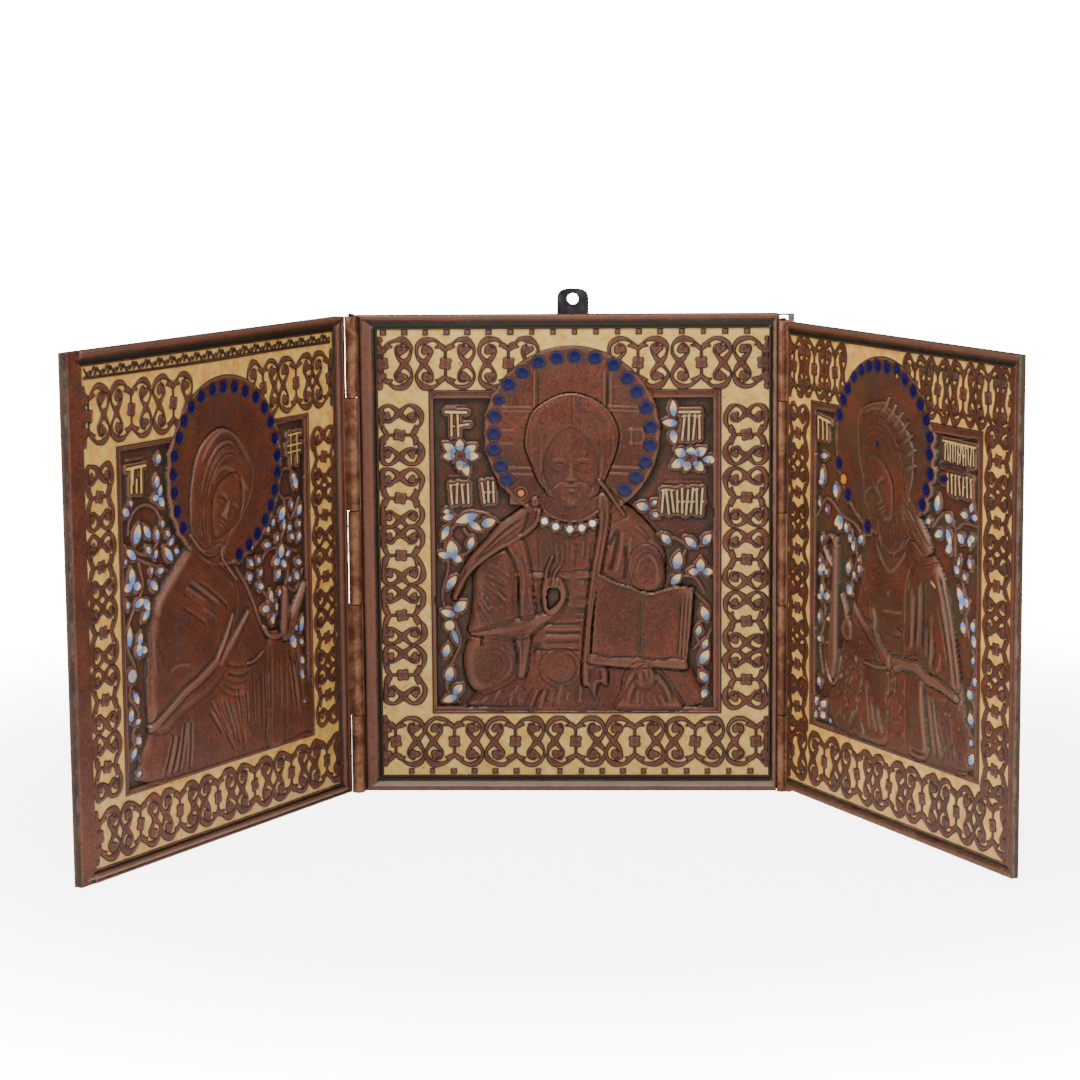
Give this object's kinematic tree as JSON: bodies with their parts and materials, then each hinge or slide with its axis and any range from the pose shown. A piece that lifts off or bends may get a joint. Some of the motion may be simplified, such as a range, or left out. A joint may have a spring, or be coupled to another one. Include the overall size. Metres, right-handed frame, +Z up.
{
  "type": "folding three-leaf altarpiece",
  "caption": "Cast brass folding altarpiece: a centre leaf and two hinged wings with figure reliefs and enamelled scroll borders, standing on its lower edges.",
  "frame": {"origin": "on the flat foot of the centre leaf, in the middle of its enamel field, at the depth of the enamel's surface", "axes": "+Z up, +X along the centre leaf to the right as its face is looked at, +Y out of its back"},
  "size_m": [0.2635, 0.1238, 0.1577],
  "materials": {
    "brown_brass": "reddish brown patina over cast brass, worn darker on the edges, with cream and blue enamel in the cells",
    "grey_brass": "dark grey patina, smooth"
  },
  "bodies": {
    "centre": {"central_panel": "brown_brass", "left_hinge_pin": "grey_brass", "right_hinge_pin": "grey_brass", "hanging_loop": "grey_brass"},
    "left_leaf": {"left_wing": "brown_brass"},
    "right_leaf": {"right_wing": "brown_brass"}
  },
  "joints": [
    {"name": "left_hinge", "type": "hinge", "parent": "centre", "child": "left_leaf", "pos_m": [-0.06826, -0.00275, 0.075], "axis": [0, 0, 1], "range_deg": [-61.3, 118.7]},
    {"name": "right_hinge", "type": "hinge", "parent": "centre", "child": "right_leaf", "pos_m": [0.0646, -0.00135, 0.075], "axis": [0, 0, -1], "range_deg": [-61.9, 118.1]}
  ]
}
